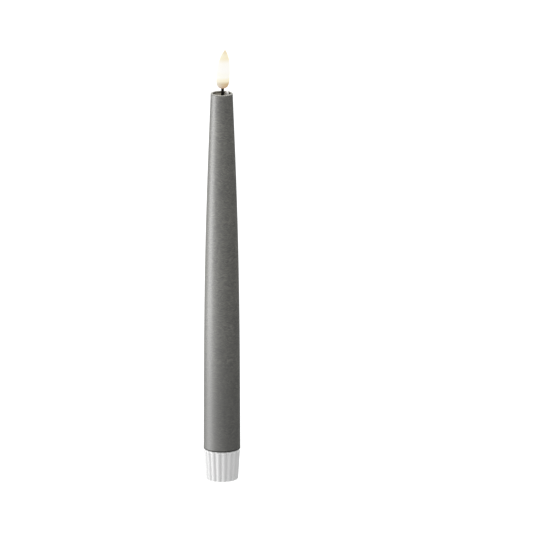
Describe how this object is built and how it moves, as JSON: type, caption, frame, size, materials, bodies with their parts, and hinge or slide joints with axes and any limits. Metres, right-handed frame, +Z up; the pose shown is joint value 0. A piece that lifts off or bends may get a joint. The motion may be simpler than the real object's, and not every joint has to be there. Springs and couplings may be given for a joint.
{
  "type": "flameless led candle",
  "caption": "Slim wax taper candle with a glowing flame-shaped diffuser on a thin stem and a fluted white foot that unscrews for the battery change.",
  "frame": {"origin": "centre of the foot's underside, on the surface the candle stands on", "axes": "+Z up along the candle's axis to the flame, -Y the front, +X the side that the flame leans to"},
  "size_m": [0.0232, 0.0232, 0.2783],
  "materials": {
    "wax": "satin grey wax with fine brushed streaks",
    "tube_plastic": "natural moulded plastic",
    "well_plastic": "grey plastic with a thin wax film",
    "wick_black": "matt black",
    "flame_plastic": "milky translucent, lit warm white",
    "led_clear": "clear epoxy with a yellow phosphor",
    "lens_clear": "clear epoxy dome",
    "wire_insulation": "smooth insulation",
    "lead_wire": "tinned wire",
    "board_green": "solder mask over glass fibre",
    "chip_black": "matt moulded epoxy",
    "capacitor_sleeve": "dark sleeve with a bare top",
    "inner_plastic": "moulded plastic",
    "nickel_contact": "nickel plated",
    "brass_contact": "bare spring brass",
    "battery": "printed sleeve over a metal can",
    "foot_plastic": "satin white moulded plastic",
    "collar_plastic": "white moulded plastic",
    "switch_metal": "folded tin plate",
    "slider_black": "matt black",
    "screw_steel": "zinc plated"
  },
  "bodies": {
    "candle": {"wax_shell": "wax", "core_tube": "tube_plastic", "well_floor": "well_plastic", "wick_ferrule": "wick_black", "wick_stem": "wick_black", "flame_diffuser": "flame_plastic", "flame_led": "led_clear", "led_leads": "wire_insulation", "ir_receiver": "lens_clear", "ir_leads": "lead_wire", "circuit_board": "board_green", "controller_chip": "chip_black", "board_capacitor": "capacitor_sleeve", "board_resistors": "chip_black", "board_guides": "inner_plastic", "battery_sleeve": "tube_plastic", "sleeve_spacers": "inner_plastic", "sleeve_cap": "inner_plastic", "top_contact": "nickel_contact", "return_strip": "brass_contact"},
    "batteries": {"battery_upper": "battery", "battery_lower": "battery"},
    "foot": {"foot_shell": "foot_plastic", "threaded_collar": "collar_plastic", "contact_spring": "nickel_contact", "ring_contact": "brass_contact", "foot_wires": "wire_insulation", "switch_board": "board_green", "switch_body": "switch_metal", "base_plate": "foot_plastic", "base_screws": "screw_steel"},
    "slider": {"switch_slider": "slider_black"}
  },
  "joints": [
    {"name": "battery_drop", "type": "slide", "parent": "candle", "child": "batteries", "axis": [0, 0, -1], "range_m": [0, 0.012]},
    {"name": "foot_turn", "type": "hinge", "parent": "batteries", "child": "foot", "pos_m": [0, 0, 0], "axis": [0, 0, -1], "range_deg": [0, 720]},
    {"name": "switch_slide", "type": "slide", "parent": "foot", "child": "slider", "axis": [1, 0, 0], "range_m": [0, 0.004]}
  ],
  "couplings": [
    {"joint": "foot_turn", "follows": "battery_drop", "rad_per_m": 1047.2}
  ]
}
